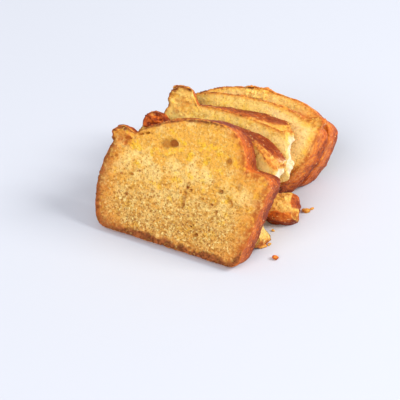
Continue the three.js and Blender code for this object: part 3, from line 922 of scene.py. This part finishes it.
def crumb_tree(material):
    """Small rough grains that cling to the crumb of a mesh, where its attribute crust is low."""
    tree = bpy.data.node_groups.new("Clinging crumbs", "GeometryNodeTree")
    face = tree.interface
    face.new_socket("Geometry", in_out="INPUT", socket_type="NodeSocketGeometry")
    for key, kind, default in (("Density", "NodeSocketFloat", 30000.0), ("Grain", "NodeSocketFloat", 0.00045),
                               ("Seed", "NodeSocketInt", 3)):
        face.new_socket(key, in_out="INPUT", socket_type=kind).default_value = default
    face.new_socket("Geometry", in_out="OUTPUT", socket_type="NodeSocketGeometry")
    given, out = tree.nodes.new("NodeGroupInput").outputs, tree.nodes.new("NodeGroupOutput")
    position = node(tree, "GeometryNodeInputPosition").outputs[0]
    height = node(tree, "ShaderNodeSeparateXYZ", {0: position}).outputs["Z"]
    bare = times(tree, math_node(tree, "LESS_THAN", point_value(tree, "crust"), BARE_CRUST),
                 math_node(tree, "GREATER_THAN", height, GRAINS_ABOVE))
    density = times(tree, given["Density"], times_plus(tree, point_value(tree, "toast"), 1.2, 0.5))
    points = node(tree, "GeometryNodeDistributePointsOnFaces", {
        "Mesh": given["Geometry"], "Selection": bare, "Density": density, "Seed": given["Seed"]})
    ball = node(tree, "GeometryNodeMeshIcoSphere", {"Radius": 1.0, "Subdivisions": 1}).outputs["Mesh"]
    size = random_value(tree, "FLOAT", "_001", GRAIN_LEAST, GRAIN_MOST)
    placed = node(tree, "GeometryNodeInstanceOnPoints", {
        "Points": points.outputs["Points"], "Instance": ball, "Scale": times(tree, size, given["Grain"]),
        "Rotation": random_value(tree, "FLOAT_VECTOR", "", (0.0, 0.0, 0.0), (FULL_TURN,) * 3)}).outputs[0]
    real = node(tree, "GeometryNodeRealizeInstances", {"Geometry": placed}).outputs[0]
    rough = node(tree, "ShaderNodeTexNoise", {"Scale": GRAIN_NOISE}).outputs["Color"]
    rough = shaken(tree, rough, GRAIN_ROUGH)
    uneven = node(tree, "GeometryNodeSetPosition", {"Geometry": real, "Offset": rough}).outputs[0]
    finished = node(tree, "GeometryNodeSetMaterial", {"Geometry": uneven, "Material": material}).outputs[0]
    tree.links.new(finished, out.inputs[0])
    return tree


def clinging_crumbs(source, tree, settings):
    """The grains of one slice as a plain mesh of their own."""
    carrier = added("crumb_carrier", source.data)
    modifier = carrier.modifiers.new("Clinging crumbs", "NODES")
    modifier.node_group = tree
    sockets = {item.name: item.identifier for item in tree.interface.items_tree if item.in_out == "INPUT"}
    for key, value in settings.items():
        modifier[sockets[key]] = value
    bpy.context.view_layer.update()
    shown = carrier.evaluated_get(bpy.context.evaluated_depsgraph_get())
    mesh = bpy.data.meshes.new_from_object(shown)
    bpy.data.objects.remove(carrier)
    mesh.shade_smooth()
    return added(source.name + "_grains", mesh)


# ---- Stage ----
CAMERA_AT = (325.77, -595.46, 485.91)  # in the row's own place, in millimetres
CAMERA_AXES = ((0.88268, 0.46797, -0.04322), (-0.24735, 0.54080, 0.80396), (0.39961, -0.69896, 0.59311))
LENS, SENSOR = 113.82, 36.0
CLIP_START, CLIP_END = 0.01, 20.0
LIT_PLACE = (0, 0, 0.03)  # what the lights point at
# place, size, power and colour of each light
LIGHTS = {
    "window": ((2.2, 0.8, 1.9), 1.4, 84.0, (1.0, 0.99, 0.97)),
    "bounce": ((-0.3, -3.2, 2.75), 3.2, 126.0, (1.0, 0.99, 0.98)),
}
FLOOR_RADIUS, FLOOR_CORNERS = 3.0, 64


def add_camera():
    """The camera, in front of the row, to its right and above."""
    data = bpy.data.cameras.new("camera")
    data.lens, data.sensor_width, data.clip_start, data.clip_end = LENS, SENSOR, CLIP_START, CLIP_END
    camera = added("camera", data)
    place = (np.array(CAMERA_AT) + row_shift()) * MM
    camera.matrix_world = Matrix([*[[*row] for row in zip(*CAMERA_AXES, place)], [0, 0, 0, 1]])
    bpy.context.scene.camera = camera


def add_light(name, at, size, power, tint):
    """A round soft light that points at the cake."""
    data = bpy.data.lights.new(name, "AREA")
    data.shape, data.size, data.energy, data.color = "DISK", size, power, tint
    light = added(name, data)
    light.location = at
    light.rotation_euler = (Vector(LIT_PLACE) - Vector(at)).to_track_quat("-Z", "Y").to_euler()


def add_floor(look):
    """A wide round floor."""
    turns = [2 * math.pi * i / FLOOR_CORNERS for i in range(FLOOR_CORNERS)]
    ring = [(FLOOR_RADIUS * math.cos(turn), FLOOR_RADIUS * math.sin(turn), 0.0) for turn in turns]
    mesh = bpy.data.meshes.new("floor")
    mesh.from_pydata(ring, [], [list(range(FLOOR_CORNERS))])
    mesh.materials.append(floor_material(look))
    added("floor", mesh)


def add_world(look):
    """Even light from all round."""
    world = bpy.data.worlds.new("soft room")
    world.use_nodes = True
    background = world.node_tree.nodes["Background"]
    background.inputs["Color"].default_value = colour(look.room)
    background.inputs["Strength"].default_value = look.room_strength
    bpy.context.scene.world = world


# ---- Settings, operators and panel ----
def shade(name, words, default):
    """A colour that can be changed."""
    return FloatVectorProperty(name=name, description=words + ", as seen on a screen, 0 to 255", size=3,
                               default=default, min=0, max=255)


class CakeLook(PropertyGroup):
    """Colours of the cake, the floor and the light"""
    # painted light: the pale crumb is torn crumb, partly painted light, and the bright crumb is crumb lit up
    # by painted light on the slices further back
    pale_crumb: shade("Pale crumb", "Freshly torn crumb", (255, 226, 188))
    painted_light_crumb: shade("Bright crumb", "Crumb of the slices further back", (255, 216, 118))
    cream_crumb: shade("Cream crumb", "Paler crumb", (254, 217, 134))
    golden_crumb: shade("Golden crumb", "Deeper crumb", (239, 176, 74))
    yellow_patch: shade("Yellow patch", "Egg-yellow spots in the crumb", (254, 200, 48))
    # painted shade: the dense crumb is partly painted shade near the foot, the grain colour is a painted
    # highlight on raised grains, and the colours of the gaps, pores, deep pits and dense pores are painted
    # shade in recesses
    dense_crumb_and_shade: shade("Dense crumb", "Crumb near the foot of a slice", (214, 158, 80))
    grain_highlight: shade("Grain", "Raised grains of crumb", (255, 230, 150))
    gap: shade("Gap", "Gaps between the grains of crumb", (172, 108, 40))
    pore: shade("Pore", "Inside of a pore in the crumb", (206, 134, 52))
    deep_pit_shade: shade("Deep pore", "Bottom of the largest hollows", (162, 92, 34))
    dense_pore_shade: shade("Dense pore", "Inside of a pore near the foot", (168, 106, 44))
    toasted_crumb: shade("Toasted crumb", "Crumb beside the crust", (228, 142, 54))
    browned_crumb: shade("Browned crumb", "Crumb at the very edge of the crust", (188, 98, 36))
    crust_edge: shade("Crust edge", "Crust cut through at the edge of a face", (104, 50, 24))
    crust_inside: shade("Crust inside", "Paler parts of the crust that is cut through", (164, 92, 46))
    light_crust: shade("Light crust", "Thin baked crust", (240, 150, 54))
    brown_crust: shade("Brown crust", "Well baked crust", (204, 98, 28))
    dark_crust: shade("Dark crust", "Crust where it baked most", (128, 46, 14))
    plum_crust: shade("Plum crust", "Brown patches in the crust", (166, 86, 48))
    crust_speck: shade("Crust speck", "Pale specks on the crust", (252, 204, 136))
    floor: shade("Floor", "The floor", (201, 204, 212))
    room: shade("Room light", "Light from all round", (243, 246, 254))
    room_strength: FloatProperty(name="Room strength", description="How bright the room is", default=0.62,
                                 min=0)
    softness: FloatProperty(name="Softness", description="How much light passes through the crumb",
                            default=0.12, min=0, max=1, subtype="FACTOR")


class CakeSizes(PropertyGroup):
    """Fineness of the meshes, and the pits and the small crumbs"""
    detail: FloatProperty(name="Detail", description="Fineness of the meshes", default=1.0, min=0.2, max=1.2)
    pit_seed: IntProperty(name="Pit seed", description="Which pattern of pits the cut faces have", default=40)
    grain: FloatProperty(name="Grain", description="Radius of a clinging crumb", default=0.00045, min=0.0001,
                         unit="LENGTH")
    grains_per_area: FloatProperty(name="Grains", description="Clinging crumbs in each square metre",
                                   default=26000, min=0)


def shared_material():
    """The one material of all the pieces, made when it is first asked for."""
    return bpy.data.materials.get(CAKE_MATERIAL) or cake_material(bpy.context.scene.cake_look)


def finish_piece(piece, *nodes):
    """Gives a piece its material, hides the solids it stands for, and attaches it to what carries it."""
    piece.data.materials.clear()
    piece.data.materials.append(shared_material())
    if nodes:
        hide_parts(*nodes)
    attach(piece, "root")


class CAKE_OT_slices(Operator):
    """Make the five slices, with pitted cut faces and baked skins"""
    bl_idname = "cake.slices"
    bl_label = "Slices"

    def execute(self, context):
        sizes = context.scene.cake_sizes
        for name in SLICES:
            finish_piece(build_slice(name, sizes.detail, sizes.pit_seed), name)
        return {"FINISHED"}


class CAKE_OT_corner(Operator):
    """Make the broken corner that lies beside the torn slices"""
    bl_idname = "cake.corner"
    bl_label = "Broken corner"

    def execute(self, context):
        finish_piece(build_corner(context.scene.cake_sizes.detail), "broken_corner")
        return {"FINISHED"}


class CAKE_OT_grains(Operator):
    """Scatter the small crumbs that cling to the cut faces"""
    bl_idname = "cake.grains"
    bl_label = "Clinging crumbs"
    first_seed = 11

    def execute(self, context):
        sizes = context.scene.cake_sizes
        tree, pieces = crumb_tree(shared_material()), []
        for n, name in enumerate(SLICES):
            source = bpy.data.objects[name.replace("slice", "cake_slice")]
            settings = {"Density": sizes.grains_per_area, "Grain": sizes.grain, "Seed": self.first_seed + n}
            pieces.append(clinging_crumbs(source, tree, settings))
        finish_piece(joined(pieces, "clinging_crumbs"))
        return {"FINISHED"}


class CAKE_OT_floor_crumbs(Operator):
    """Make the loose crumbs that lie on the floor beside the row"""
    bl_idname = "cake.floor_crumbs"
    bl_label = "Floor crumbs"

    def execute(self, context):
        finish_piece(build_floor_crumbs(context.scene.cake_sizes.detail))
        return {"FINISHED"}


class CAKE_OT_stage(Operator):
    """Set up the floor, the light and the camera"""
    bl_idname = "cake.stage"
    bl_label = "Stage"

    def execute(self, context):
        look = context.scene.cake_look
        add_floor(look)
        add_world(look)
        for name, light in LIGHTS.items():
            add_light(name, *light)
        add_camera()
        context.scene.view_settings.view_transform = "Standard"
        return {"FINISHED"}


class CAKE_PT_panel(Panel):
    """Lists the settings and the operators"""
    bl_idname = "CAKE_PT_panel"
    bl_label = "Pound Cake"
    bl_space_type = "VIEW_3D"
    bl_region_type = "UI"
    bl_category = "Pound Cake"

    def draw(self, context):
        for group in (context.scene.cake_sizes, context.scene.cake_look):
            for key in group.bl_rna.properties.keys():
                if key not in {"rna_type", "name"}:
                    self.layout.prop(group, key)
        for operator in OPERATORS:
            self.layout.operator(operator.bl_idname)


OPERATORS = (CAKE_OT_slices, CAKE_OT_corner, CAKE_OT_grains, CAKE_OT_floor_crumbs, CAKE_OT_stage)
CLASSES = (CakeLook, CakeSizes, *OPERATORS, CAKE_PT_panel)


def register():
    for cls in CLASSES:
        bpy.utils.register_class(cls)
    bpy.types.Scene.cake_look = PointerProperty(type=CakeLook)
    bpy.types.Scene.cake_sizes = PointerProperty(type=CakeSizes)


def unregister():
    del bpy.types.Scene.cake_sizes
    del bpy.types.Scene.cake_look
    for cls in reversed(CLASSES):
        bpy.utils.unregister_class(cls)


def main():
    register()
    bpy.ops.cake.slices()
    bpy.ops.cake.corner()
    bpy.ops.cake.grains()
    bpy.ops.cake.floor_crumbs()
    bpy.ops.cake.stage()


if __name__ == "__main__":
    main()
